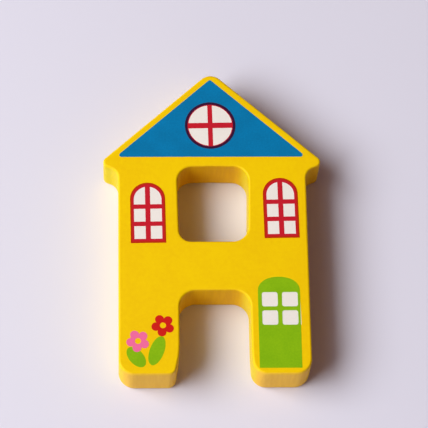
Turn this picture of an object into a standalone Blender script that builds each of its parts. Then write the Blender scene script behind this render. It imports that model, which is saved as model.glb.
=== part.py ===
"""A wooden letter H, sawn and printed as a little house, lying on its back.

Metres. X runs across the letter, Y from its feet to the ridge of its roof, and Z out of the printed
face. The origin is on the back face, in the middle of the letter's box. Heights that are called
above the feet are turned into Y by the function height.
"""

import math

import bmesh
import bpy
from mathutils import Vector

MM = 0.001

# Board, sawn from one piece of wood
BOARD_THICKNESS = 15.0 * MM
WALL_WIDTH = 59.15 * MM
FRONT_EDGE_ROUND = 0.8 * MM
BACK_EDGE_ROUND = 1.3 * MM
OPENING_DRIFT = 0.2 * MM
LEG_GAP_WIDTH = 22.0 * MM
LEG_GAP_HEIGHT = 27.2 * MM
LEG_GAP_RADIUS = 5.4 * MM
CROSSBAR_DEPTH = 16.15 * MM
HOLE_BOTTOM_WIDTH = 21.5 * MM
HOLE_TOP_WIDTH = 22.6 * MM
HOLE_HEIGHT = 25.3 * MM
HOLE_TOP_BOW = 0.3 * MM
HOLE_BOW_RADIUS = 60.0 * MM
HOLE_RADIUS = 5.0 * MM
HOLE_TIGHT_RADIUS = 3.8 * MM

# Feet, whose inner sides are sawn away a little
FOOT_OUTER_RADIUS = 4.9 * MM
FOOT_TAPER_HEIGHT = 7.5 * MM
FOOT_TAPER_RADIUS = 25.0 * MM
LEFT_FOOT_TAPER = 1.45 * MM
LEFT_FOOT_INNER_RADIUS = 2.5 * MM
RIGHT_FOOT_TAPER = 0.5 * MM
RIGHT_FOOT_INNER_RADIUS = 4.6 * MM

# Roof, with sharp corners named before they are rounded
EAVE_LIFT = 0.85 * MM
EAVE_OVERHANG = 6.31 * MM
EAVE_UNDERCUT = math.radians(20)
EAVE_RADIUS = 1.8 * MM
EAVE_COVE_RADIUS = 4.0 * MM
GABLE_HEIGHT = 31.9 * MM
RIDGE_RADIUS = 4.3 * MM

# Ink films, which lie in two layers on the front
FILM_THICKNESS = 0.1 * MM
FILM_GAP = 0.05 * MM
PRINT_TILT = math.radians(0.8)

# Blue roof with its round window
ROOF_PRINT_MARGIN = 2.17 * MM
ROOF_PRINT_LIFT = 3.08 * MM
ROOF_PRINT_RADIUS = 0.7 * MM
ROOF_PRINT_DRIFT = -0.25 * MM
GABLE_WINDOW_DIAMETER = 16.05 * MM
GABLE_WINDOW_FRAME = 1.08 * MM
GABLE_WINDOW_UPRIGHT = 1.5 * MM
GABLE_WINDOW_CROSSBAR = 1.86 * MM
GABLE_WINDOW_DROP = 0.68 * MM
GABLE_WINDOW_DRIFT = -0.11 * MM
GABLE_WHITE_BORDER = 0.3 * MM
WHITE_CLEARANCE = 0.15 * MM

# Arched windows, one on each wall
WINDOW_WIDTH = 10.98 * MM
WINDOW_HEIGHT = 20.2 * MM
WINDOW_FRAME = 1.15 * MM
WINDOW_SILL = 1.35 * MM
WINDOW_CROWN = 1.38 * MM
WINDOW_MULLION = 1.58 * MM
WINDOW_BAR = 1.5 * MM
WINDOW_TOP_SIDE = 1.58 * MM
WINDOW_WHITE_BORDER = 0.55 * MM
WINDOW_ROWS = 2
WINDOW_DROP = 0.59 * MM
LEFT_WINDOW_DRIFT = 0.14 * MM
RIGHT_WINDOW_DRIFT = 1.15 * MM
RIGHT_WINDOW_LIFT = 1.54 * MM

# Door on the right leg
DOOR_MARGIN = 2.79 * MM
DOOR_STEP = 1.97 * MM
DOOR_HEIGHT = 29.45 * MM
DOOR_ARCH_RISE = 4.7 * MM
DOOR_ARCH_FULLNESS = 2.2
DOOR_DRIFT = -0.34 * MM
DOOR_STILE = 0.97 * MM
DOOR_MIDDLE_STILE = 1.35 * MM
DOOR_RAIL = 1.3 * MM
DOOR_PANE_ROWS = 2
DOOR_PANE_HEIGHT = 4.65 * MM
DOOR_PANE_DROP = 0.32 * MM
DOOR_PANE_DRIFT = 0.22 * MM
DOOR_PANE_RADIUS = 0.7 * MM
DOOR_WHITE_BORDER = 0.5 * MM
DOOR_WHITE_DRIFT = 0.32 * MM
DOOR_WHITE_TURN = math.radians(1.2)

# Flowers and leaves on the left leg, placed from the middle of the leg's foot
PETALS = 5
PETAL_TURN = math.radians(46)
PETAL_RING = 2.2 * MM
PETAL_RADIUS = 1.36 * MM
FLOWER_CENTRE_RADIUS = 0.95 * MM
RED_FLOWER_ACROSS = 4.34 * MM
RED_FLOWER_RISE = 15.75 * MM
PINK_FLOWER_ACROSS = -3.34 * MM
PINK_FLOWER_RISE = 10.75 * MM
LEAF_WIDTH = 4.4 * MM
RIGHT_LEAF_LENGTH = 9.7 * MM
RIGHT_LEAF_LEAN = math.radians(19.8)
RIGHT_LEAF_ACROSS = 2.45 * MM
RIGHT_LEAF_RISE = 7.6 * MM
LEFT_LEAF_LENGTH = 7.6 * MM
LEFT_LEAF_LEAN = math.radians(-39.8)
LEFT_LEAF_ACROSS = -3.87 * MM
LEFT_LEAF_RISE = 5.6 * MM

# Fineness of round stretches
ARC_STEP = math.radians(11)
EDGE_STEPS = 4
SHARP_ANGLE = math.radians(30)

# Colours of the lacquer and inks, as 8-bit screen values
YELLOW = (241, 197, 15)
BLUE = (9, 115, 167)
RED = (204, 24, 30)
WHITE = (244, 234, 230)
GREEN = (134, 180, 21)
PINK = (238, 103, 150)
LACQUER_ROUGHNESS = 0.38
INK_ROUGHNESS = 0.5

# Places that follow from the sizes above
HOLE_BOTTOM = LEG_GAP_HEIGHT + CROSSBAR_DEPTH
HOLE_TOP = HOLE_BOTTOM + HOLE_HEIGHT
EAVE_HEIGHT = HOLE_TOP + EAVE_LIFT
EAVE_REACH = WALL_WIDTH / 2 + EAVE_OVERHANG
SOFFIT_HEIGHT = EAVE_HEIGHT - EAVE_OVERHANG * math.tan(EAVE_UNDERCUT)
ROOF_PITCH = math.atan2(GABLE_HEIGHT, EAVE_REACH)
RIDGE_HEIGHT = EAVE_HEIGHT + GABLE_HEIGHT
LETTER_HEIGHT = RIDGE_HEIGHT - RIDGE_RADIUS * (1 / math.cos(ROOF_PITCH) - 1)
WALL_MIDDLE = ((HOLE_BOTTOM_WIDTH + HOLE_TOP_WIDTH) / 2 + WALL_WIDTH) / 4
LEG_WIDTH = (WALL_WIDTH - LEG_GAP_WIDTH) / 2
LEG_MIDDLE = (LEG_GAP_WIDTH + WALL_WIDTH) / 4
DOOR_WIDTH = LEG_WIDTH - 2 * DOOR_MARGIN
DOOR_PANE_WIDTH = (DOOR_WIDTH - 2 * DOOR_STILE - DOOR_MIDDLE_STILE) / 2
DOOR_PANE_TOP = DOOR_HEIGHT - DOOR_ARCH_RISE - DOOR_PANE_DROP
DOOR_GLAZED_HEIGHT = DOOR_PANE_ROWS * (DOOR_PANE_HEIGHT + DOOR_RAIL) - DOOR_RAIL


def height(above_feet):
    return above_feet - LETTER_HEIGHT / 2


def clear_scene():
    for old in list(bpy.data.objects):
        bpy.data.objects.remove(old, do_unlink=True)


def linear(screen):
    """Turns an 8-bit screen colour into the linear values that a shader takes."""
    values = []
    for channel in screen:
        share = channel / 255
        values.append(share / 12.92 if share <= 0.04045 else ((share + 0.055) / 1.055) ** 2.4)
    return (*values, 1.0)


def coat(name, screen, roughness):
    material = bpy.data.materials.new(name)
    material.use_nodes = True
    shader = material.node_tree.nodes["Principled BSDF"]
    shader.inputs["Base Color"].default_value = linear(screen)
    shader.inputs["Roughness"].default_value = roughness
    shader.inputs["Metallic"].default_value = 0.0
    return material


def left_of(direction):
    return Vector((-direction.y, direction.x))


def inset(corners, depth):
    """Moves every side of a counter-clockwise outline inwards. Corners are pairs of a point and a radius."""
    moved = []
    for i, (point, radius) in enumerate(corners):
        before = (point - corners[i - 1][0]).normalized()
        after = (corners[(i + 1) % len(corners)][0] - point).normalized()
        sides = left_of(before) + left_of(after)
        shift = sides / (1 + before.dot(after))
        outward = before.cross(after) > 0
        moved.append((point + shift * depth, radius - depth if outward else radius + depth))
    return moved


def rounded(corners):
    """Rounds the corners of an outline with arcs, each limited by the sides that it meets."""
    count = len(corners)
    ahead = []
    for i in range(count):
        ahead.append(corners[(i + 1) % count][0] - corners[i][0])
    turns = []
    reaches = []
    for i in range(count):
        turns.append(-ahead[i - 1].angle_signed(ahead[i]))
        reaches.append(corners[i][1] * math.tan(abs(turns[i]) / 2))
    points = []
    for i, (point, radius) in enumerate(corners):
        room_before = ahead[i - 1].length / (reaches[i - 1] + reaches[i])
        room_after = ahead[i].length / (reaches[i] + reaches[(i + 1) % count])
        share = min(1.0, room_before, room_after)
        start = point - ahead[i - 1].normalized() * reaches[i] * share
        centre = start + left_of(ahead[i - 1].normalized()) * math.copysign(radius * share, turns[i])
        steps = max(1, math.ceil(abs(turns[i]) / ARC_STEP))
        for step in range(steps + 1):
            points.append(centre + turned(start - centre, turns[i] * step / steps))
    return points


def turned(point, angle):
    cosine = math.cos(angle)
    sine = math.sin(angle)
    return Vector((point.x * cosine - point.y * sine, point.x * sine + point.y * cosine))


def arc(centre, radius, start, end):
    steps = max(1, math.ceil(abs(end - start) / ARC_STEP))
    points = []
    for step in range(steps + 1):
        points.append(centre + turned(Vector((radius, 0)), start + (end - start) * step / steps))
    return points


def circle(radius):
    return arc(Vector((0, 0)), radius, 0, math.tau)[:-1]


def rectangle(left, bottom, right, top, radius):
    return [
        (Vector((left, bottom)), radius),
        (Vector((right, bottom)), radius),
        (Vector((right, top)), radius),
        (Vector((left, top)), radius),
    ]


def make_solid(name, walls, material):
    """Closes a solid from its walls. Each wall is a stack of loops, from the back to the front."""
    mesh = bpy.data.meshes.new(name)
    shape = bmesh.new()
    back_edges = []
    front_edges = []
    for wall in walls:
        rings = []
        for loop in wall:
            rings.append([shape.verts.new(point) for point in loop])
        for lower, upper in zip(rings, rings[1:]):
            for i in range(len(lower)):
                shape.faces.new((lower[i - 1], lower[i], upper[i], upper[i - 1]))
        for i in range(len(rings[0])):
            back_edges.append(shape.edges.get((rings[0][i - 1], rings[0][i])))
            front_edges.append(shape.edges.get((rings[-1][i - 1], rings[-1][i])))
    for edges in (back_edges, front_edges):
        bmesh.ops.triangle_fill(shape, use_beauty=True, use_dissolve=False, edges=edges)
    bmesh.ops.recalc_face_normals(shape, faces=shape.faces[:])
    shape.to_mesh(mesh)
    shape.free()
    mesh.materials.append(material)
    mesh.shade_smooth()
    mesh.set_sharp_from_angle(angle=SHARP_ANGLE)
    solid = bpy.data.objects.new(name, mesh)
    bpy.context.collection.objects.link(solid)
    solid.parent = letter
    return solid


def letter_outline():
    """The house outline with sharp corners, counter-clockwise from the top of the leg gap."""
    right = half_outline(1, RIGHT_FOOT_TAPER, RIGHT_FOOT_INNER_RADIUS)
    left = half_outline(-1, LEFT_FOOT_TAPER, LEFT_FOOT_INNER_RADIUS)
    ridge = (Vector((0, height(RIDGE_HEIGHT))), RIDGE_RADIUS)
    return right + [ridge] + left[::-1]


def half_outline(side, taper, inner_radius):
    """Half of the house, from the top of the leg gap to the eave. Side is 1 on the right, -1 on the left."""
    gap = OPENING_DRIFT + side * LEG_GAP_WIDTH / 2
    wall = side * WALL_WIDTH / 2
    return [
        (Vector((gap, height(LEG_GAP_HEIGHT))), LEG_GAP_RADIUS),
        (Vector((gap, height(FOOT_TAPER_HEIGHT))), FOOT_TAPER_RADIUS),
        (Vector((gap + side * taper, height(0))), inner_radius),
        (Vector((wall, height(0))), FOOT_OUTER_RADIUS),
        (Vector((wall, height(SOFFIT_HEIGHT))), EAVE_COVE_RADIUS),
        (Vector((side * EAVE_REACH, height(EAVE_HEIGHT))), EAVE_RADIUS),
    ]


def hole_outline():
    """The square hole, a little wider at its top, which is bowed. One corner is tighter than the rest."""
    bottom = HOLE_BOTTOM_WIDTH / 2
    top = HOLE_TOP_WIDTH / 2
    shoulder = height(HOLE_TOP - HOLE_TOP_BOW)
    return [
        (Vector((OPENING_DRIFT - bottom, height(HOLE_BOTTOM))), HOLE_TIGHT_RADIUS),
        (Vector((OPENING_DRIFT + bottom, height(HOLE_BOTTOM))), HOLE_RADIUS),
        (Vector((OPENING_DRIFT + top, shoulder)), HOLE_RADIUS),
        (Vector((OPENING_DRIFT, height(HOLE_TOP))), HOLE_BOW_RADIUS),
        (Vector((OPENING_DRIFT - top, shoulder)), HOLE_RADIUS),
    ]


def quarter_round(radius):
    """A rounded-over edge, as pairs of an inset and a height, from a flat face to the side."""
    profile = []
    for step in range(EDGE_STEPS + 1):
        angle = math.pi / 2 * step / EDGE_STEPS
        profile.append((radius * (1 - math.sin(angle)), radius * (1 - math.cos(angle))))
    return profile


def edge_profile():
    """The section of the board's edge, as pairs of an inset and a height, from the back to the front."""
    front = []
    for depth, z in reversed(quarter_round(FRONT_EDGE_ROUND)):
        front.append((depth, BOARD_THICKNESS - z))
    return quarter_round(BACK_EDGE_ROUND) + front


def make_body():
    outer = []
    hole = []
    for depth, z in edge_profile():
        outer.append([(*point, z) for point in rounded(inset(letter_outline(), depth))])
        hole.append([(*point, z) for point in rounded(inset(hole_outline(), -depth))])
    make_solid("letter_body", [outer, hole], coat("yellow_lacquer", YELLOW, LACQUER_ROUGHNESS))


def make_film(name, outlines, screen, layer, place, turn=0.0):
    """A film of ink: one outline with its openings, laid on the front in the first or second layer."""
    walls = []
    for outline in outlines:
        walls.append([[(*point, z) for point in outline] for z in (0.0, FILM_THICKNESS)])
    film = make_solid(name, walls, coat(name + "_ink", screen, INK_ROUGHNESS))
    seat = BOARD_THICKNESS + FILM_GAP + layer * (FILM_THICKNESS + FILM_GAP)
    film.location = (place.x, place.y, seat)
    film.rotation_euler = (0.0, 0.0, turn)


def roof_triangle():
    """The corners of the blue triangle: its slopes keep a margin to the roof's slopes."""
    base = HOLE_TOP + ROOF_PRINT_LIFT
    top = RIDGE_HEIGHT - ROOF_PRINT_MARGIN / math.cos(ROOF_PITCH)
    reach = (top - base) / math.tan(ROOF_PITCH)
    return base, top, reach


def gable_window_place():
    """The round window sits by the middle of the circle that fits in the blue triangle."""
    base, top, reach = roof_triangle()
    slope = math.hypot(reach, top - base)
    fitted = reach * (top - base) / (reach + slope)
    across = ROOF_PRINT_DRIFT + GABLE_WINDOW_DRIFT
    return Vector((across, height(base + fitted - GABLE_WINDOW_DROP)))


def make_roof_print():
    base, top, reach = roof_triangle()
    drift = Vector((ROOF_PRINT_DRIFT, 0))
    corners = [
        (Vector((-reach, height(base))), ROOF_PRINT_RADIUS),
        (Vector((reach, height(base))), ROOF_PRINT_RADIUS),
        (Vector((0, height(top))), ROOF_PRINT_RADIUS),
    ]
    opening = []
    for point in circle(white_disc_radius() + WHITE_CLEARANCE):
        opening.append(point + gable_window_place() - drift)
    make_film("roof_print", [rounded(corners), opening], BLUE, 0, drift)


def white_disc_radius():
    return GABLE_WINDOW_DIAMETER / 2 - GABLE_WINDOW_FRAME + GABLE_WHITE_BORDER


def make_gable_window():
    inner = GABLE_WINDOW_DIAMETER / 2 - GABLE_WINDOW_FRAME
    side = GABLE_WINDOW_UPRIGHT / 2
    sill = GABLE_WINDOW_CROSSBAR / 2
    pane = [Vector((side, sill))]
    pane += arc(Vector((0, 0)), inner, math.asin(sill / inner), math.acos(side / inner))
    outlines = [circle(GABLE_WINDOW_DIAMETER / 2)]
    for flip_x in (1, -1):
        for flip_y in (1, -1):
            outlines.append([Vector((point.x * flip_x, point.y * flip_y)) for point in pane])
    make_film("gable_window_white", [circle(white_disc_radius())], WHITE, 0, gable_window_place())
    make_film("gable_window_frame", outlines, RED, 1, gable_window_place(), PRINT_TILT)


def arch_outline(trim):
    """A window's arch, trimmed all round, with its origin in the middle of the sill."""
    half = WINDOW_WIDTH / 2 - trim
    springing = WINDOW_HEIGHT - WINDOW_WIDTH / 2
    points = [Vector((-half, trim)), Vector((half, trim))]
    points += arc(Vector((0, springing)), half, 0, math.pi)
    return points


def window_panes():
    """Rows of square panes and a pair of quarter-round ones under the arch."""
    inner = WINDOW_WIDTH / 2 - WINDOW_FRAME
    side = WINDOW_MULLION / 2
    springing = WINDOW_HEIGHT - WINDOW_CROWN - inner
    top_sill = springing - WINDOW_TOP_SIDE
    pane_height = (top_sill - WINDOW_SILL) / WINDOW_ROWS - WINDOW_BAR
    top_pane = [Vector((side, top_sill)), Vector((inner, top_sill))]
    top_pane += arc(Vector((0, springing)), inner, 0, math.acos(side / inner))
    right_panes = [top_pane]
    for row in range(WINDOW_ROWS):
        bottom = WINDOW_SILL + row * (pane_height + WINDOW_BAR)
        top = bottom + pane_height
        right_panes.append([
            Vector((side, bottom)),
            Vector((inner, bottom)),
            Vector((inner, top)),
            Vector((side, top)),
        ])
    panes = []
    for pane in right_panes:
        panes.append(pane)
        panes.append([Vector((-point.x, point.y)) for point in pane])
    return panes


def make_window(side_name, place):
    white = arch_outline(WINDOW_FRAME - WINDOW_WHITE_BORDER)
    frame = [arch_outline(0.0)] + window_panes()
    make_film(side_name + "_window_white", [white], WHITE, 0, place, PRINT_TILT)
    make_film(side_name + "_window_frame", frame, RED, 1, place, PRINT_TILT)


def make_windows():
    sill = height(HOLE_BOTTOM - WINDOW_DROP)
    make_window("left", Vector((LEFT_WINDOW_DRIFT - WALL_MIDDLE, sill)))
    make_window("right", Vector((WALL_MIDDLE + RIGHT_WINDOW_DRIFT, sill + RIGHT_WINDOW_LIFT)))


def door_outline():
    """The door's outline: straight sides under a full, flattened arch."""
    half = DOOR_WIDTH / 2
    springing = DOOR_HEIGHT - DOOR_ARCH_RISE
    power = 2 / DOOR_ARCH_FULLNESS
    points = [Vector((-half, 0)), Vector((half, 0))]
    for point in arc(Vector((0, 0)), 1.0, 0, math.pi):
        across = math.copysign(abs(point.x) ** power, point.x)
        rise = abs(point.y) ** power
        points.append(Vector((half * across, springing + DOOR_ARCH_RISE * rise)))
    return points


def door_panes():
    """Rows of square panes in pairs, with their origin in the middle of the door's foot."""
    panes = []
    for row in range(DOOR_PANE_ROWS):
        top = DOOR_PANE_TOP - row * (DOOR_PANE_HEIGHT + DOOR_RAIL)
        for column in (-1, 1):
            middle = DOOR_PANE_DRIFT + column * (DOOR_MIDDLE_STILE + DOOR_PANE_WIDTH) / 2
            pane = rectangle(
                middle - DOOR_PANE_WIDTH / 2,
                top - DOOR_PANE_HEIGHT,
                middle + DOOR_PANE_WIDTH / 2,
                top,
                DOOR_PANE_RADIUS,
            )
            panes.append(rounded(pane))
    return panes


def make_door():
    """The white under the panes is out of register, so that a sliver shows past the door's edge."""
    place = Vector((LEG_MIDDLE + DOOR_DRIFT, height(DOOR_STEP)))
    half_width = DOOR_MIDDLE_STILE / 2 + DOOR_PANE_WIDTH + DOOR_WHITE_BORDER
    half_height = DOOR_GLAZED_HEIGHT / 2 + DOOR_WHITE_BORDER
    white = rectangle(-half_width, -half_height, half_width, half_height, DOOR_PANE_RADIUS)
    middle = Vector((DOOR_PANE_DRIFT + DOOR_WHITE_DRIFT, DOOR_PANE_TOP - DOOR_GLAZED_HEIGHT / 2))
    make_film("door_white", [rounded(white)], WHITE, 0, place + middle, DOOR_WHITE_TURN)
    make_film("door_print", [door_outline()] + door_panes(), GREEN, 1, place)


def on_left_leg(across, rise):
    return Vector((across - LEG_MIDDLE, height(rise)))


def make_leaf(name, place, length, lean):
    outline = []
    for point in circle(1.0):
        outline.append(Vector((point.x * LEAF_WIDTH / 2, point.y * length / 2)))
    make_film(name, [outline], GREEN, 0, place, -lean)


def petal_sweep():
    """How far a petal's arc goes to each side, from its tip to the valley where it meets the next petal."""
    half_turn = math.pi / PETALS
    half_chord = PETAL_RING * math.sin(half_turn)
    valley = PETAL_RING * math.cos(half_turn) + math.sqrt(PETAL_RADIUS ** 2 - half_chord ** 2)
    return math.atan2(valley * math.sin(half_turn), valley * math.cos(half_turn) - PETAL_RING)


def make_flower(name, place, screen):
    """Round petals in a ring that run into each other, round an unprinted centre."""
    sweep = petal_sweep()
    outline = []
    for i in range(PETALS):
        direction = i * math.tau / PETALS
        middle = turned(Vector((PETAL_RING, 0)), direction)
        outline += arc(middle, PETAL_RADIUS, direction - sweep, direction + sweep)[:-1]
    make_film(name, [outline, circle(FLOWER_CENTRE_RADIUS)], screen, 1, place, PETAL_TURN)


clear_scene()
letter = bpy.data.objects.new("letter", None)
bpy.context.collection.objects.link(letter)
make_body()
make_roof_print()
make_gable_window()
make_windows()
make_door()
make_leaf(
    "right_leaf_print", on_left_leg(RIGHT_LEAF_ACROSS, RIGHT_LEAF_RISE), RIGHT_LEAF_LENGTH, RIGHT_LEAF_LEAN
)
make_leaf("left_leaf_print", on_left_leg(LEFT_LEAF_ACROSS, LEFT_LEAF_RISE), LEFT_LEAF_LENGTH, LEFT_LEAF_LEAN)
make_flower("red_flower_print", on_left_leg(RED_FLOWER_ACROSS, RED_FLOWER_RISE), RED)
make_flower("pink_flower_print", on_left_leg(PINK_FLOWER_ACROSS, PINK_FLOWER_RISE), PINK)
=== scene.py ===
import math
from functools import partial

import bmesh
import bpy
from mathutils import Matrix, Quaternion, Vector, noise


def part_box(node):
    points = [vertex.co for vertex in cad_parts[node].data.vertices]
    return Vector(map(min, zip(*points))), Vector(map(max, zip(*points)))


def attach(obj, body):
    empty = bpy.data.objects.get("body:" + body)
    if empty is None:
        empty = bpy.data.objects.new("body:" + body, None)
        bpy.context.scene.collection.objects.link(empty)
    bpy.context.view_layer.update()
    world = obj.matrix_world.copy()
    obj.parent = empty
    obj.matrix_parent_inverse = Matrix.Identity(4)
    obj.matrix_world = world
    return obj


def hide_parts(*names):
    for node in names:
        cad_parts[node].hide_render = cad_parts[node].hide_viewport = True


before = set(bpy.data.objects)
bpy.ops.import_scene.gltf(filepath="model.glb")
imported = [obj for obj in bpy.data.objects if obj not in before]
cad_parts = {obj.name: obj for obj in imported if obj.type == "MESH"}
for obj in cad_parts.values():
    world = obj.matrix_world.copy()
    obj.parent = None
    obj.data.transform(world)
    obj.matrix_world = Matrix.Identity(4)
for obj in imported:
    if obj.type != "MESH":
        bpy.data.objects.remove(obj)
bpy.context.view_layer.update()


# The board. One piece of close-grained wood, sawn to the outline of a house with a square hole and a
# gap between its legs. Every edge is sanded round, and the whole piece is sprayed with yellow lacquer,
# which soaks into the sawn end grain and turns darker there. The lacquer also carries painted light and
# shade: a highlight on the edges, shade on the end grain and the sides that face right, and lit tones on
# the left.
MM = 0.001
board_low, board_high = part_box("letter_body")
FEET = board_low.y
FRONT = board_high.z
WALL_WIDTH = 59.15 * MM
OPENING_DRIFT = 0.2 * MM
LEG_GAP_WIDTH = 22.0 * MM
LEG_GAP_HEIGHT = 27.2 * MM
LEG_GAP_RADIUS = 5.4 * MM
HOLE_BOTTOM_WIDTH = 21.5 * MM
HOLE_TOP_WIDTH = 22.6 * MM
HOLE_BOTTOM = 43.35 * MM
HOLE_TOP = 68.65 * MM
HOLE_TOP_BOW = 0.3 * MM
HOLE_BOW_RADIUS = 60.0 * MM
HOLE_RADIUS = 5.0 * MM
HOLE_TIGHT_RADIUS = 3.8 * MM
FOOT_OUTER_RADIUS = 4.9 * MM
FOOT_TAPER_HEIGHT = 7.5 * MM
FOOT_TAPER_RADIUS = 25.0 * MM
LEFT_FOOT_TAPER = 1.45 * MM
LEFT_FOOT_INNER_RADIUS = 2.5 * MM
RIGHT_FOOT_TAPER = 0.5 * MM
RIGHT_FOOT_INNER_RADIUS = 4.6 * MM
SOFFIT_HEIGHT = 67.203 * MM
EAVE_REACH = 35.885 * MM
EAVE_HEIGHT = 69.5 * MM
EAVE_RADIUS = 1.8 * MM
COVE_RADIUS = 4.0 * MM
RIDGE_HEIGHT = 101.4 * MM
RIDGE_RADIUS = 4.3 * MM
FRONT_ROUND = 0.65 * MM
FOOT_ROUND = 1.4 * MM
FOOT_WEAR_HEIGHT = 5.0 * MM
BACK_ROUND = 1.3 * MM
SANDING_SPREAD = 0.14
SANDING_LENGTH = 9.0 * MM
ROUND_STEPS = 7
SIDE_STEPS = 4
RIM_BAND = 0.15 * MM
ARC_STEP = math.radians(4)
RUN_STEP = 1.5 * MM
CREASE = math.radians(40)


def turned(vector, angle):
    """A vector turned counter-clockwise."""
    cosine = math.cos(angle)
    sine = math.sin(angle)
    return Vector((vector.x * cosine - vector.y * sine, vector.x * sine + vector.y * cosine))


def filleted(corners):
    """Rounds the corners of a counter-clockwise outline, where each corner is a place and a radius."""
    points = []
    for i, (corner, radius) in enumerate(corners):
        before = (corner - corners[i - 1][0]).normalized()
        after = (corners[(i + 1) % len(corners)][0] - corner).normalized()
        turn = math.atan2(before.cross(after), before.dot(after))
        start = corner - before * radius * math.tan(abs(turn) / 2)
        spoke = Vector((before.y, -before.x)) * math.copysign(radius, turn)
        steps = max(1, math.ceil(abs(turn) / ARC_STEP))
        for step in range(steps + 1):
            points.append(start - spoke + turned(spoke, turn * step / steps))
    return points


def spaced(points, step):
    """Adds points along the straight runs of a closed outline."""
    closer = []
    for i, point in enumerate(points):
        run = point - points[i - 1]
        parts = max(1, math.ceil(run.length / step))
        for part in range(parts):
            closer.append(points[i - 1] + run * (part + 1) / parts)
    return closer


def half_house(side, taper, inner_radius):
    """The corners from the leg gap to the eave, on the right for a side of 1 and on the left for -1."""
    gap = OPENING_DRIFT + side * LEG_GAP_WIDTH / 2
    wall = side * WALL_WIDTH / 2
    return [
        (gap, LEG_GAP_HEIGHT, LEG_GAP_RADIUS),
        (gap, FOOT_TAPER_HEIGHT, FOOT_TAPER_RADIUS),
        (gap + side * taper, 0, inner_radius),
        (wall, 0, FOOT_OUTER_RADIUS),
        (wall, SOFFIT_HEIGHT, COVE_RADIUS),
        (side * EAVE_REACH, EAVE_HEIGHT, EAVE_RADIUS),
    ]


def house_outline():
    """The board's outer edge, from the leg gap round by the right foot, the ridge and the left foot."""
    right = half_house(1, RIGHT_FOOT_TAPER, RIGHT_FOOT_INNER_RADIUS)
    left = half_house(-1, LEFT_FOOT_TAPER, LEFT_FOOT_INNER_RADIUS)
    house = right + [(0, RIDGE_HEIGHT, RIDGE_RADIUS)] + left[::-1]
    return filleted([(Vector((x, FEET + height)), radius) for x, height, radius in house])


def hole_outline():
    """The square hole, which widens upwards and has a slightly bowed top."""
    middle = Vector((OPENING_DRIFT, FEET))
    bottom = HOLE_BOTTOM_WIDTH / 2
    top = HOLE_TOP_WIDTH / 2
    shoulder = HOLE_TOP - HOLE_TOP_BOW
    return filleted([
        (middle + Vector((-bottom, HOLE_BOTTOM)), HOLE_TIGHT_RADIUS),
        (middle + Vector((bottom, HOLE_BOTTOM)), HOLE_RADIUS),
        (middle + Vector((top, shoulder)), HOLE_RADIUS),
        (middle + Vector((0, HOLE_TOP)), HOLE_BOW_RADIUS),
        (middle + Vector((-top, shoulder)), HOLE_RADIUS),
    ])


def sanding(point):
    """How much sanding took off at a place: no edge is quite even."""
    return 1 + SANDING_SPREAD * noise.noise(point.to_3d() / SANDING_LENGTH)


def quarter_round(across, deep):
    """A rounded-over edge as pairs of an inset and a depth, from a band of the flat face to the side."""
    section = [(across + RIM_BAND, 0.0)]
    for step in range(ROUND_STEPS + 1):
        angle = math.pi / 2 * step / ROUND_STEPS
        section.append((across * (1 - math.sin(angle)), deep * (1 - math.cos(angle))))
    return section


def edge_section(point):
    """The board's edge in section, from back to front. Wear makes the front round deeper at the feet."""
    foot = max(0.0, 1 - (point.y - FEET) / FOOT_WEAR_HEIGHT)
    across = FRONT_ROUND * sanding(point)
    deep = across + (FOOT_ROUND - FRONT_ROUND) * foot
    edge = BACK_ROUND * sanding(point)
    side = []
    for step in range(1, SIDE_STEPS):
        side.append((0.0, edge + (FRONT - edge - deep) * step / SIDE_STEPS))
    front = [(inset, FRONT - depth) for inset, depth in reversed(quarter_round(across, deep))]
    return quarter_round(edge, edge) + side + front


def sanded_walls(shape, outline, inside):
    """Sweeps the edge section round an outline, and gives back its rims on the back and the front.

    The wood lies to the left of the outline for an inside of 1, and to the right of it for -1.
    """
    points = spaced(outline, RUN_STEP)
    columns = []
    for i, point in enumerate(points):
        along = (points[(i + 1) % len(points)] - points[i - 1]).normalized()
        inward = Vector((-along.y, along.x)) * inside
        column = []
        for inset, height in edge_section(point):
            place = point + inward * inset
            column.append(shape.verts.new((place.x, place.y, height)))
        columns.append(column)
    rings = list(zip(*columns))
    skin(shape, rings)
    return rings[0], rings[-1]


def skin(shape, rings):
    """Joins each ring of points to the next with a band of faces."""
    for lower, upper in zip(rings, rings[1:]):
        for i in range(len(lower)):
            shape.faces.new((lower[i - 1], lower[i], upper[i], upper[i - 1]))


def closed_piece(name, shape, faces):
    """Fills flat faces, each bounded by one or more rims, and makes an object of the shape."""
    for rims in faces:
        edges = []
        for rim in rims:
            edges += [shape.edges.get((rim[i - 1], rim[i])) for i in range(len(rim))]
        bmesh.ops.triangle_fill(shape, use_beauty=True, use_dissolve=False, edges=edges)
    bmesh.ops.recalc_face_normals(shape, faces=shape.faces[:])
    mesh = bpy.data.meshes.new(name)
    shape.to_mesh(mesh)
    shape.free()
    mesh.shade_smooth()
    mesh.set_sharp_from_angle(angle=CREASE)
    piece = bpy.data.objects.new(name, mesh)
    bpy.context.scene.collection.objects.link(piece)
    return piece


# The lacquer. Its tones are given as a screen shows them, and a pair is a full coat and a thin one. A
# slant is how far a surface turns to one side where a tone begins, and where it is full. The three
# lengths of a pattern run along X, Y and Z.
FACE_COAT = ((246, 202, 0), (241, 193, 0))
# The end-grain tone is darker, partly because end grain drinks the lacquer and partly as painted shade.
END_GRAIN_AND_SHADE_COAT = ((238, 185, 8), (232, 176, 8))
# The feet's end tone is paler, partly from rubbing and partly as painted light from the pale floor before
# them.
FOOT_END_WEAR_AND_LIGHT_COAT = ((252, 200, 66), (246, 191, 60))
# The tones of the sides facing left and of the left eave are painted light: the lit look of the side
# towards the lamp.
LIT_LEFT_SIDE_COAT = (229, 199, 8)
LIT_LEFT_EAVE_COAT = (232, 210, 0)
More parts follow.
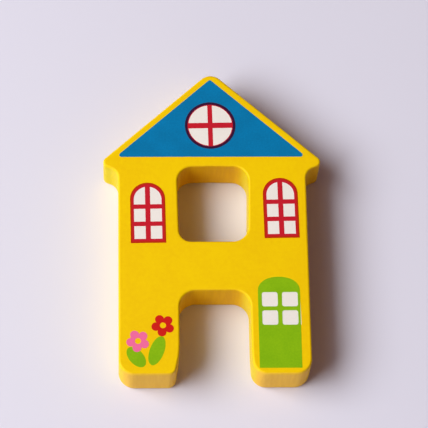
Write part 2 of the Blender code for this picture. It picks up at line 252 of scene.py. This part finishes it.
# A paler yellow as a painted highlight along the rounded edges.
EDGE_HIGHLIGHT_COAT = (246, 208, 30)
END_SLANT = (0.45, 0.95)
SIDE_SLANT = (0.3, 0.9)
# The share of the dark tone that the sides facing right take on, as painted shade.
RIGHT_SIDE_SHADE_SHARE = 0.6
EDGE_HIGHLIGHT_SHARE = 0.25
EAVE_FADE = 1.0 * MM
FOOT_FADE_LOW = 1.0 * MM
FOOT_FADE_HIGH = 4.0 * MM
BLOTCH_SPAN = (0.3, 0.7)
COAT_DRIFT = (16 * MM, 24 * MM, 16 * MM)
WOOD_GRAIN = (0.5 * MM, 16 * MM, 0.5 * MM)
ORANGE_PEEL = (1.2 * MM, 1.2 * MM, 1.2 * MM)
SAW_MARKS = (0.8 * MM, 0.8 * MM, 10 * MM)
SOFT_DETAIL = 2.0
FINE_DETAIL = 3.0
DRIFT_SHARE = 0.55
RELIEF_DEPTH = 0.012 * MM
GRAIN_RELIEF = 0.25
PEEL_RELIEF = 0.5
SAW_RELIEF = 0.6
SATIN_GLOSS = 0.12
LACQUER_ROUGHNESS = 0.42
DRIFT_ROUGHNESS = 0.08
END_ROUGHNESS = 0.1


def screen(red, green, blue):
    """Turns a colour as a screen shows it into a shader's linear values, by the sRGB curve."""
    values = []
    for channel in (red, green, blue):
        share = channel / 255
        values.append(share / 12.92 if share <= 0.04045 else ((share + 0.055) / 1.055) ** 2.4)
    return (*values, 1.0)


class Wire:
    """One shader value. Sums, products and mixes of wires add the nodes that work them out."""

    def __init__(self, tree, socket=None):
        self.tree = tree
        self.socket = socket

    def node(self, kind, settings=(), sockets=(), out=0):
        """Adds a node, sets it up, fills its sockets, and gives back one of its outputs."""
        made = self.tree.nodes.new(kind)
        for name, value in dict(settings).items():
            setattr(made, name, value)
        feed(made, dict(sockets))
        return Wire(self.tree, made.outputs[out])

    def maths(self, operation, *values):
        return self.node("ShaderNodeMath", {"operation": operation}, enumerate(values))

    def __add__(self, other):
        return self.maths("ADD", self, other)

    def __sub__(self, other):
        return self.maths("SUBTRACT", self, other)

    def __rsub__(self, other):
        return self.maths("SUBTRACT", other, self)

    def __mul__(self, other):
        return self.maths("MULTIPLY", self, other)

    def __abs__(self):
        return self.maths("ABSOLUTE", self)

    __radd__ = __add__
    __rmul__ = __mul__

    def parts(self):
        """The three parts of a place or a direction."""
        split = self.node("ShaderNodeSeparateXYZ", {}, {0: self}).socket.node
        return [Wire(self.tree, socket) for socket in split.outputs]

    def cloud(self, lengths, detail=SOFT_DETAIL):
        """Noise over this place, from 0 to 1, with blotches about as long as the three lengths."""
        scale = [1 / length for length in lengths]
        spread = self.node("ShaderNodeVectorMath", {"operation": "MULTIPLY"}, {0: self, 1: scale})
        return self.node("ShaderNodeTexNoise", {}, {"Vector": spread, "Scale": 1.0, "Detail": detail})

    def climb(self, low, high):
        """Goes smoothly from 0 to 1 while this value goes from low to high."""
        limits = {"Value": self, "From Min": low, "From Max": high}
        return self.node("ShaderNodeMapRange", {"interpolation_type": "SMOOTHSTEP"}, limits)

    def tint(self, first, second):
        """Mixes two colours, with this value as the share of the second one."""
        # The node has a set of sockets for each kind of data. Inputs 6 and 7 and output 2 take colours.
        return self.node("ShaderNodeMix", {"data_type": "RGBA"}, {0: self, 6: first, 7: second}, 2)

    def blotches(self, full, thin):
        """Two tones of one coat, in blotches that follow this noise."""
        return self.climb(*BLOTCH_SPAN).tint(screen(*full), screen(*thin))

    def relief(self, depth):
        """The normals of a surface whose hollows and humps follow this value, to the given depth."""
        sockets = {"Strength": 1.0, "Distance": depth, "Height": self}
        return self.node("ShaderNodeBump", {}, sockets)


def feed(node, sockets):
    """Fills a node's sockets with plain values, or with the wires that work them out."""
    for name, value in sockets.items():
        if isinstance(value, Wire):
            value.tree.links.new(value.socket, node.inputs[name])
        else:
            node.inputs[name].default_value = value


def new_finish(name):
    """A fresh material, with its shader and the place on the piece that its patterns follow."""
    material = bpy.data.materials.new(name)
    material.use_nodes = True
    tree = material.node_tree
    place = Wire(tree).node("ShaderNodeTexCoord", out="Object")
    return material, tree.nodes["Principled BSDF"], place


def lacquer():
    """Yellow lacquer, with a painted highlight on the sanded edges, and dark and streaky on the end
    grain, partly because end grain drinks it and partly as painted shade.

    The ends of the feet are paler, partly rubbed and partly painted light from the pale floor before
    them. The sides that face right take on a good half of the dark tone as painted shade, and those that
    face left, towards the lamp, like the left eave, are painted a little greener as lit.
    """
    material, shader, place = new_finish("yellow_lacquer")
    x, y = place.parts()[:2]
    across, along, up = place.node("ShaderNodeNewGeometry", out="Normal").parts()
    sides = 1 - abs(up)
    # The edges are a hump that reaches 1 on a surface midway between a face and a side. It carries a
    # painted highlight along the rounded edges.
    edges = abs(up) * sides * 4
    # Sides that face left, towards the lamp, get a greener tone as painted light.
    lit_left_sides = (0 - across).climb(*SIDE_SLANT)
    # Sides that face right, away from the lamp, take on part of the dark tone as painted shade.
    shaded_right_sides = across.climb(*SIDE_SLANT)
    # The left eave is painted as lit: it is kept out of the dark tone and takes a greener yellow.
    lit_left_eave = 1 - x.climb(-WALL_WIDTH / 2, EAVE_FADE - WALL_WIDTH / 2)
    # The dark tone covers the end grain, and painted shade on the sides that face right.
    end_grain_and_shade = abs(along).climb(*END_SLANT) * (1 - lit_left_eave) + RIGHT_SIDE_SHADE_SHARE * shaded_right_sides
    # The feet's ends are paler, partly rubbed and partly painted light from the floor.
    feet = end_grain_and_shade * (1 - y.climb(FEET + FOOT_FADE_LOW, FEET + FOOT_FADE_HIGH))
    drift = place.cloud(COAT_DRIFT)
    grain = place.cloud(WOOD_GRAIN, FINE_DETAIL)
    peel = place.cloud(ORANGE_PEEL)
    saw = place.cloud(SAW_MARKS, FINE_DETAIL)
    face = (drift * DRIFT_SHARE + peel * (1 - DRIFT_SHARE)).blotches(*FACE_COAT)
    face_and_eave = (lit_left_eave * sides).tint(face, screen(*LIT_LEFT_EAVE_COAT))
    dark_ends_and_shade = end_grain_and_shade.tint(face_and_eave, saw.blotches(*END_GRAIN_AND_SHADE_COAT))
    walls = lit_left_sides.tint(dark_ends_and_shade, screen(*LIT_LEFT_SIDE_COAT))
    walls_and_feet = feet.tint(walls, saw.blotches(*FOOT_END_WEAR_AND_LIGHT_COAT))
    surface = grain * GRAIN_RELIEF + peel * PEEL_RELIEF + saw * sides * SAW_RELIEF
    feed(shader, {
        # The rounded edges get a painted highlight in a paler yellow.
        "Base Color": (edges * EDGE_HIGHLIGHT_SHARE).tint(walls_and_feet, screen(*EDGE_HIGHLIGHT_COAT)),
        "Roughness": LACQUER_ROUGHNESS + DRIFT_ROUGHNESS * drift + END_ROUGHNESS * end_grain_and_shade,
        "Specular IOR Level": SATIN_GLOSS,
        "Normal": surface.relief(RELIEF_DEPTH),
    })
    return material


def dress(piece, material, slot, *nodes):
    """Gives a piece its finish, and lets it stand for the plain solids at its place."""
    piece.data.materials.append(material)
    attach(piece, "root")
    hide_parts(*nodes)


board_shape = bmesh.new()
house_rims = sanded_walls(board_shape, house_outline(), 1)
hole_rims = sanded_walls(board_shape, hole_outline(), -1)
board = closed_piece("sawn_board", board_shape, zip(house_rims, hole_rims))
dress(board, lacquer(), "yellow_lacquer", "letter_body")


# The roof. A triangle of blue ink, screen-printed on the gable inside a yellow margin, and left open
# where the round window goes. Its edge is a little uneven, as ink that was pushed through a mesh is.
INK_THICKNESS = 0.02 * MM
INK_SOAK = 0.02 * MM
INK_STEP = 0.4 * MM
INK_BLEED = 0.03 * MM
INK_BLEED_LENGTH = 0.8 * MM
INK_BLEED_SEED = 3
INK_PATCHES = (7 * MM, 7 * MM, 7 * MM)
INK_SPECKS = (0.6 * MM, 0.6 * MM, 0.6 * MM)
PATCH_SHARE = 0.5
SPECK_RELIEF = 0.4
INK_ROUGHNESS = 0.45
SPECK_ROUGHNESS = 0.12
FIRST_PRINT = 1
SECOND_PRINT = 2
ROOF_BASE = 71.73 * MM
ROOF_TOP = 98.5 * MM
ROOF_REACH = 30.1 * MM
ROOF_DRIFT = -0.25 * MM
ROOF_RADIUS = 0.7 * MM
ROUND_WINDOW_HEIGHT = 82.5 * MM
ROUND_WINDOW_DRIFT = -0.36 * MM
ROUND_WINDOW_OPENING = 7.18 * MM
BLUE_INK = ((0, 121, 171), (0, 111, 157))
noise.seed_set(INK_BLEED_SEED)


def printed(outline):
    """An outline with the slight wander that a printed edge has."""
    points = []
    for point in spaced(outline, INK_STEP):
        wander = Vector(noise.noise_vector(point.to_3d() / INK_BLEED_LENGTH)).to_2d()
        points.append(point + wander * INK_BLEED)
    return points


def ink_film(name, outlines, layer):
    """A film of ink on the board's front: its outer outline and then its openings."""
    shape = bmesh.new()
    rims = ([], [])
    for outline in outlines:
        points = printed(outline)
        rings = []
        for rim, z in zip(rims, (FRONT - INK_SOAK, FRONT + INK_THICKNESS * layer)):
            rings.append([shape.verts.new((point.x, point.y, z)) for point in points])
            rim.append(rings[-1])
        skin(shape, rings)
    return closed_piece(name, shape, rims)


def ink(name, full, thin, overprint=None):
    """Satin ink that covers a little unevenly. An overprint is a mask and the tone that shows there."""
    material, shader, place = new_finish(name)
    patches = place.cloud(INK_PATCHES)
    specks = place.cloud(INK_SPECKS, FINE_DETAIL)
    grain = place.cloud(WOOD_GRAIN, FINE_DETAIL)
    peel = place.cloud(ORANGE_PEEL)
    colour = (patches * PATCH_SHARE + specks * (1 - PATCH_SHARE)).blotches(full, thin)
    if overprint:
        mask, tone = overprint
        colour = mask(place).tint(colour, screen(*tone))
    surface = grain * GRAIN_RELIEF + peel * PEEL_RELIEF + specks * SPECK_RELIEF
    feed(shader, {
        "Base Color": colour,
        "Roughness": INK_ROUGHNESS + SPECK_ROUGHNESS * specks,
        "Specular IOR Level": SATIN_GLOSS,
        "Normal": surface.relief(RELIEF_DEPTH),
    })
    return material


def arc(centre, radius, start, end):
    """Points along a stretch of a circle, both ends included."""
    steps = math.ceil(abs(end - start) / ARC_STEP)
    points = []
    for step in range(steps + 1):
        points.append(centre + turned(Vector((radius, 0)), start + (end - start) * step / steps))
    return points


def circle(centre, radius):
    return arc(centre, radius, 0, math.tau)[:-1]


round_window = Vector((ROUND_WINDOW_DRIFT, FEET + ROUND_WINDOW_HEIGHT))
roof_triangle = filleted([
    (Vector((ROOF_DRIFT - ROOF_REACH, FEET + ROOF_BASE)), ROOF_RADIUS),
    (Vector((ROOF_DRIFT + ROOF_REACH, FEET + ROOF_BASE)), ROOF_RADIUS),
    (Vector((ROOF_DRIFT, FEET + ROOF_TOP)), ROOF_RADIUS),
])
roof_outlines = [roof_triangle, circle(round_window, ROUND_WINDOW_OPENING)]
roof = ink_film("blue_roof_ink", roof_outlines, FIRST_PRINT)
dress(roof, ink("blue_ink", *BLUE_INK), "blue_ink", "roof_print")


# The round window in the gable. A disc of white ink, and over it a red ring with a cross. The ring runs
# on to the blue, where the two inks together look almost black.
ROUND_WINDOW_DIAMETER = 16.05 * MM
ROUND_WINDOW_RING = 1.08 * MM
ROUND_WINDOW_WHITE = 7.13 * MM
UPRIGHT = 1.5 * MM
CROSSBAR = 1.86 * MM
PRINT_TILT = math.radians(0.8)
OVERPRINT_BLUR = 0.1 * MM
WHITE_INK = ((241, 231, 219), (236, 227, 214))
RED_ON_WHITE = ((200, 24, 38), (193, 27, 44))
RED_ON_BLUE = (52, 16, 50)


def round_window_panes():
    """The four openings between the ring and the cross."""
    inner = ROUND_WINDOW_DIAMETER / 2 - ROUND_WINDOW_RING
    corner = Vector((UPRIGHT / 2, CROSSBAR / 2))
    low = math.asin(corner.y / inner)
    high = math.acos(corner.x / inner)
    pane = [corner] + arc(Vector((0, 0)), inner, low, high)
    panes = []
    for flip in ((1, 1), (-1, 1), (-1, -1), (1, -1)):
        panes.append([round_window + turned(point * Vector(flip), PRINT_TILT) for point in pane])
    return panes


def over_blue(place):
    """Where the red ring lies on the blue, past the opening in the roof."""
    ends = {0: place, 1: (round_window.x, round_window.y, FRONT)}
    reach = place.node("ShaderNodeVectorMath", {"operation": "DISTANCE"}, ends, "Value")
    return reach.climb(ROUND_WINDOW_OPENING - OVERPRINT_BLUR, ROUND_WINDOW_OPENING + OVERPRINT_BLUR)


white_ink = ink("white_ink", *WHITE_INK)
gable_white = ink_film("gable_white_ink", [circle(round_window, ROUND_WINDOW_WHITE)], FIRST_PRINT)
dress(gable_white, white_ink, "white_ink", "gable_window_white")
gable_ring = [circle(round_window, ROUND_WINDOW_DIAMETER / 2)] + round_window_panes()
gable_red = ink_film("gable_red_ink", gable_ring, SECOND_PRINT)
gable_red_ink = ink("gable_red_ink", *RED_ON_WHITE, (over_blue, RED_ON_BLUE))
dress(gable_red, gable_red_ink, "red_ink", "gable_window_frame")


# The arched windows, one on each wall. Each is a white arch with red glazing bars printed over it, and
# a red border that reaches past the white on to the yellow.
WINDOW_WIDTH = 10.98 * MM
WINDOW_HEIGHT = 20.2 * MM
WINDOW_BORDER = 1.15 * MM
WINDOW_SILL = 1.35 * MM
WINDOW_CROWN = 1.38 * MM
MULLION = 1.58 * MM
GLAZING_BAR = 1.5 * MM
TOP_PANE_SIDE = 1.58 * MM
WINDOW_WHITE_TRIM = 0.6 * MM
LEFT_WINDOW = Vector((-20.16, 42.76)) * MM
RIGHT_WINDOW = Vector((21.45, 44.3)) * MM
RED_PAST_WHITE = (186, 38, 6)


def arch(trim):
    """A window's outline, drawn from the middle of its sill, with a trim taken off all round."""
    half = WINDOW_WIDTH / 2 - trim
    springing = Vector((0, WINDOW_HEIGHT - WINDOW_WIDTH / 2))
    return [Vector((-half, trim)), Vector((half, trim))] + arc(springing, half, 0, math.pi)


def window_panes():
    """The openings between the glazing bars: three on the right, and the same three mirrored."""
    inner = WINDOW_WIDTH / 2 - WINDOW_BORDER
    side = MULLION / 2
    springing = WINDOW_HEIGHT - WINDOW_CROWN - inner
    sill = springing - TOP_PANE_SIDE
    tall = (sill - WINDOW_SILL) / 2 - GLAZING_BAR
    panes = [[Vector((side, sill)), Vector((inner, sill))]]
    panes[0] += arc(Vector((0, springing)), inner, 0, math.acos(side / inner))
    for bottom in (WINDOW_SILL, WINDOW_SILL + tall + GLAZING_BAR):
        panes.append([
            Vector((side, bottom)),
            Vector((inner, bottom)),
            Vector((inner, bottom + tall)),
            Vector((side, bottom + tall)),
        ])
    return panes + [[Vector((-point.x, point.y)) for point in pane] for pane in panes]


def stood(outlines, sill):
    """Outlines drawn from the middle of a sill, moved to their wall with the tilt of the print."""
    foot = Vector((0, FEET)) + sill
    return [[foot + turned(point, PRINT_TILT) for point in outline] for outline in outlines]


def past_white(sill, place):
    """Where a window's red border lies on the yellow, past the edge of the white arch."""
    x, y = place.parts()[:2]
    across = x - sill.x + (y - (FEET + sill.y)) * PRINT_TILT
    rise = y - (FEET + sill.y) - (x - sill.x) * PRINT_TILT
    over = rise.maths("MAXIMUM", rise - (WINDOW_HEIGHT - WINDOW_WIDTH / 2), 0.0)
    spoke = place.node("ShaderNodeCombineXYZ", {}, {0: across, 1: over})
    reach = place.node("ShaderNodeVectorMath", {"operation": "LENGTH"}, {0: spoke}, "Value")
    depth = rise.maths("MINIMUM", rise, WINDOW_WIDTH / 2 - reach)
    return 1 - depth.climb(WINDOW_WHITE_TRIM - OVERPRINT_BLUR, WINDOW_WHITE_TRIM + OVERPRINT_BLUR)


for wall, sill in (("left", LEFT_WINDOW), ("right", RIGHT_WINDOW)):
    white_arch = stood([arch(WINDOW_WHITE_TRIM)], sill)
    white = ink_film(f"{wall}_window_white_ink", white_arch, FIRST_PRINT)
    dress(white, white_ink, "white_ink", f"{wall}_window_white")
    red_frame = stood([arch(0)] + window_panes(), sill)
    red = ink_film(f"{wall}_window_red_ink", red_frame, SECOND_PRINT)
    overprint = (partial(past_white, sill), RED_PAST_WHITE)
    window_red_ink = ink(f"{wall}_window_red_ink", *RED_ON_WHITE, overprint)
    dress(red, window_red_ink, "red_ink", f"{wall}_window_frame")


# The door on the right leg. White ink for its panes goes on first, and the green door is printed over
# it with four openings. The white isn't quite in register, so a sliver shows past the door's edge.
DOOR_MIDDLE = 19.95 * MM
DOOR_STEP = 1.97 * MM
DOOR_WIDTH = 13.0 * MM
DOOR_HEIGHT = 29.45 * MM
DOOR_ARCH_RISE = 4.7 * MM
DOOR_ARCH_FULLNESS = 2.2
DOOR_STILE = 0.97 * MM
DOOR_MIDDLE_STILE = 1.35 * MM
DOOR_RAIL = 1.3 * MM
PANE_HEIGHT = 4.65 * MM
PANE_DROP = 0.32 * MM
PANE_DRIFT = 0.22 * MM
PANE_RADIUS = 0.7 * MM
PANE_WHITE_BORDER = 0.5 * MM
PANE_WHITE_DRIFT = 0.32 * MM
PANE_WHITE_TURN = math.radians(1.2)
GREEN_INK = ((126, 174, 7), (140, 185, 11))


def rectangle(low, high, radius):
    corners = (low, Vector((high.x, low.y)), high, Vector((low.x, high.y)))
    return filleted([(corner, radius) for corner in corners])


def door_outline():
    """A door whose arched head is a flat oval with full shoulders."""
    half = DOOR_WIDTH / 2
    power = 2 / DOOR_ARCH_FULLNESS
    points = [Vector((-half, 0)), Vector((half, 0))]
    for point in arc(Vector((0, 0)), 1, 0, math.pi):
        across = math.copysign(abs(point.x) ** power, point.x)
        rise = abs(point.y) ** power
        points.append(Vector((half * across, DOOR_HEIGHT - DOOR_ARCH_RISE * (1 - rise))))
    return points


def door_panes():
    """The four panes as one reads them, each with its lowest and its highest corner."""
    wide = (DOOR_WIDTH - 2 * DOOR_STILE - DOOR_MIDDLE_STILE) / 2
    head = DOOR_HEIGHT - DOOR_ARCH_RISE - PANE_DROP
    panes = []
    for top in (head, head - PANE_HEIGHT - DOOR_RAIL):
        for left in (-DOOR_MIDDLE_STILE / 2 - wide, DOOR_MIDDLE_STILE / 2):
            low = Vector((PANE_DRIFT + left, top - PANE_HEIGHT))
            panes.append((low, low + Vector((wide, PANE_HEIGHT))))
    return panes


def door_white_outline():
    """One white block behind all four panes, a little to the right of them and turned."""
    upper_right, lower_left = door_panes()[1:3]
    border = Vector((PANE_WHITE_BORDER, PANE_WHITE_BORDER))
    low = lower_left[0] - border
    high = upper_right[1] + border
    half = (high - low) / 2
    middle = door_foot + low + half + Vector((PANE_WHITE_DRIFT, 0))
    block = rectangle(-half, half, PANE_RADIUS)
    return [middle + turned(point, PANE_WHITE_TURN) for point in block]


door_foot = Vector((DOOR_MIDDLE, FEET + DOOR_STEP))
door_white = ink_film("door_white_ink", [door_white_outline()], FIRST_PRINT)
dress(door_white, white_ink, "white_ink", "door_white")
door_outlines = [[door_foot + point for point in door_outline()]]
for low, high in door_panes():
    door_outlines.append(rectangle(door_foot + low, door_foot + high, PANE_RADIUS))
door = ink_film("door_green_ink", door_outlines, SECOND_PRINT)
green_ink = ink("green_ink", *GREEN_INK)
dress(door, green_ink, "green_ink", "door_print")


# Two leaves at the foot of the left leg, in the same green ink as the door. Each is a plain oval that
# leans away from the other.
LEFT_LEG_MIDDLE = Vector((-20.2875 * MM, FEET))
LEAF_WIDTH = 4.4 * MM
RIGHT_LEAF = Vector((2.45, 7.6)) * MM
RIGHT_LEAF_LENGTH = 9.7 * MM
RIGHT_LEAF_LEAN = math.radians(19.8)
LEFT_LEAF = Vector((-3.87, 5.6)) * MM
LEFT_LEAF_LENGTH = 7.6 * MM
LEFT_LEAF_LEAN = math.radians(-39.8)


def leaf(middle, length, lean):
    """An oval whose tip leans to the right, or to the left for a lean below 0."""
    points = []
    for point in circle(Vector((0, 0)), 1):
        oval = Vector((point.x * LEAF_WIDTH / 2, point.y * length / 2))
        points.append(LEFT_LEG_MIDDLE + middle + turned(oval, -lean))
    return points


right_oval = leaf(RIGHT_LEAF, RIGHT_LEAF_LENGTH, RIGHT_LEAF_LEAN)
right_leaf = ink_film("right_leaf_ink", [right_oval], FIRST_PRINT)
dress(right_leaf, green_ink, "green_ink", "right_leaf_print")
left_oval = leaf(LEFT_LEAF, LEFT_LEAF_LENGTH, LEFT_LEAF_LEAN)
left_leaf = ink_film("left_leaf_ink", [left_oval], FIRST_PRINT)
dress(left_leaf, green_ink, "green_ink", "left_leaf_print")


# Two flowers over the leaves, one in red ink and one in pink. Each has five round petals that run
# together, and its centre is left unprinted, so that the yellow lacquer shows.
PETALS = 5
PETAL_TURN = math.radians(46)
PETAL_RING = 2.2 * MM
PETAL_RADIUS = 1.36 * MM
FLOWER_CENTRE = 0.95 * MM
RED_FLOWER = Vector((4.34, 15.75)) * MM
PINK_FLOWER = Vector((-3.34, 10.75)) * MM
RED_ON_YELLOW = ((208, 26, 14), (202, 28, 20))
PINK_INK = ((238, 103, 150), (241, 108, 152))


def petals(middle):
    """The outer edge of a flower: one arc for each petal, from valley to valley."""
    half_turn = math.pi / PETALS
    half_chord = PETAL_RING * math.sin(half_turn)
    valley = PETAL_RING * math.cos(half_turn) + math.sqrt(PETAL_RADIUS ** 2 - half_chord ** 2)
    sweep = math.atan2(valley * math.sin(half_turn), valley * math.cos(half_turn) - PETAL_RING)
    points = []
    for i in range(PETALS):
        direction = PETAL_TURN + i * math.tau / PETALS
        tip = middle + turned(Vector((PETAL_RING, 0)), direction)
        points += arc(tip, PETAL_RADIUS, direction - sweep, direction + sweep)[:-1]
    return points


def flower(name, place):
    """A flower at its place above the middle of the left foot."""
    middle = LEFT_LEG_MIDDLE + place
    return ink_film(name, [petals(middle), circle(middle, FLOWER_CENTRE)], SECOND_PRINT)


red_flower = flower("red_flower_ink", RED_FLOWER)
dress(red_flower, ink("red_petal_ink", *RED_ON_YELLOW), "red_ink", "red_flower_print")
pink_flower = flower("pink_flower_ink", PINK_FLOWER)
dress(pink_flower, ink("pink_petal_ink", *PINK_INK), "pink_ink", "pink_flower_print")


# The floor that the letter lies on: a sheet of smooth pale paper, far larger than the view. It is set a
# hair below the letter's back, so that the two surfaces never coincide.
FLOOR_HALF = 2.0
FLOOR_DROP = 0.05 * MM
FLOOR_COLOUR = (223, 218, 227)
FLOOR_ROUGHNESS = 0.7
floor_mesh = bpy.data.meshes.new("pale_floor")
floor_corners = []
for x, y in ((-1, -1), (1, -1), (1, 1), (-1, 1)):
    floor_corners.append((x * FLOOR_HALF, y * FLOOR_HALF, -FLOOR_DROP))
floor_mesh.from_pydata(floor_corners, [], [(0, 1, 2, 3)])
floor = bpy.data.objects.new("pale_floor", floor_mesh)
bpy.context.scene.collection.objects.link(floor)
paper, paper_shader = new_finish("pale_paper")[:2]
feed(paper_shader, {"Base Color": screen(*FLOOR_COLOUR), "Roughness": FLOOR_ROUGHNESS})
floor_mesh.materials.append(paper)


# The light. A soft box stands on the left, and its cloth is brighter in the middle than at the rim, so
# it is made of one lamp and of a larger, dimmer one. A wide dim lamp stands before the feet, and the
# room adds a little warm light from all round.
AIM = Vector((0.34, 2.38, 15.0)) * MM
LAMP_DISTANCE = 2.0
SOFT_BOX_TURN = math.radians(-8)
SOFT_BOX_COLOUR = (0.89, 0.945, 1.0)
ROOM_COLOUR = (1.0, 0.56, 0.54, 1.0)
ROOM_STRENGTH = 0.125


def soft_box(name, high, turn, wide, tall, watts, colour):
    """A lamp that is aimed at the letter. Its turn is measured from the left, towards the ridge."""
    way = Vector((-math.cos(turn), math.sin(turn), math.tan(high))).normalized()
    light = bpy.data.lights.new(name, "AREA")
    light.shape = "ELLIPSE"
    light.size = wide
    light.size_y = tall
    light.energy = watts
    light.color = colour
    lamp = bpy.data.objects.new(name, light)
    lamp.location = AIM + way * LAMP_DISTANCE
    lamp.rotation_euler = (-way).to_track_quat("-Z", "Y").to_euler()
    bpy.context.scene.collection.objects.link(lamp)


soft_box(
    "key_soft_box",
    high=math.radians(44),
    turn=SOFT_BOX_TURN,
    wide=2.0,
    tall=1.3,
    watts=51.5,
    colour=SOFT_BOX_COLOUR,
)
soft_box(
    "key_soft_box_rim",
    high=math.radians(46),
    turn=SOFT_BOX_TURN,
    wide=2.4,
    tall=2.1,
    watts=13,
    colour=SOFT_BOX_COLOUR,
)
soft_box(
    "front_fill",
    high=math.radians(15),
    turn=math.radians(-90),
    wide=2.9,
    tall=0.9,
    watts=3.2,
    colour=(1.0, 0.95, 1.0),
)
room = bpy.data.worlds.new("dim_room")
room.use_nodes = True
feed(room.node_tree.nodes["Background"], {"Color": ROOM_COLOUR, "Strength": ROOM_STRENGTH})
bpy.context.scene.world = room


# The camera looks down on the letter from a little to the left of its feet, through a long lens. It is
# rolled until the letter stands almost upright in the view.
CAMERA_PLACE = Vector((-28.65, -261.46, 687.09)) * MM
CAMERA_ROLL = math.radians(5.685)
LENS_IN_MM = 194.6
SENSOR_IN_MM = 36.0
lens = bpy.data.cameras.new("camera")
lens.sensor_width = SENSOR_IN_MM
lens.lens = LENS_IN_MM
camera = bpy.data.objects.new("camera", lens)
camera.location = CAMERA_PLACE
camera.rotation_mode = "QUATERNION"
aim_turn = (AIM - CAMERA_PLACE).to_track_quat("-Z", "Y")
camera.rotation_quaternion = aim_turn @ Quaternion((0, 0, 1), CAMERA_ROLL)
bpy.context.scene.collection.objects.link(camera)
bpy.context.scene.camera = camera
bpy.context.scene.view_settings.view_transform = "Standard"
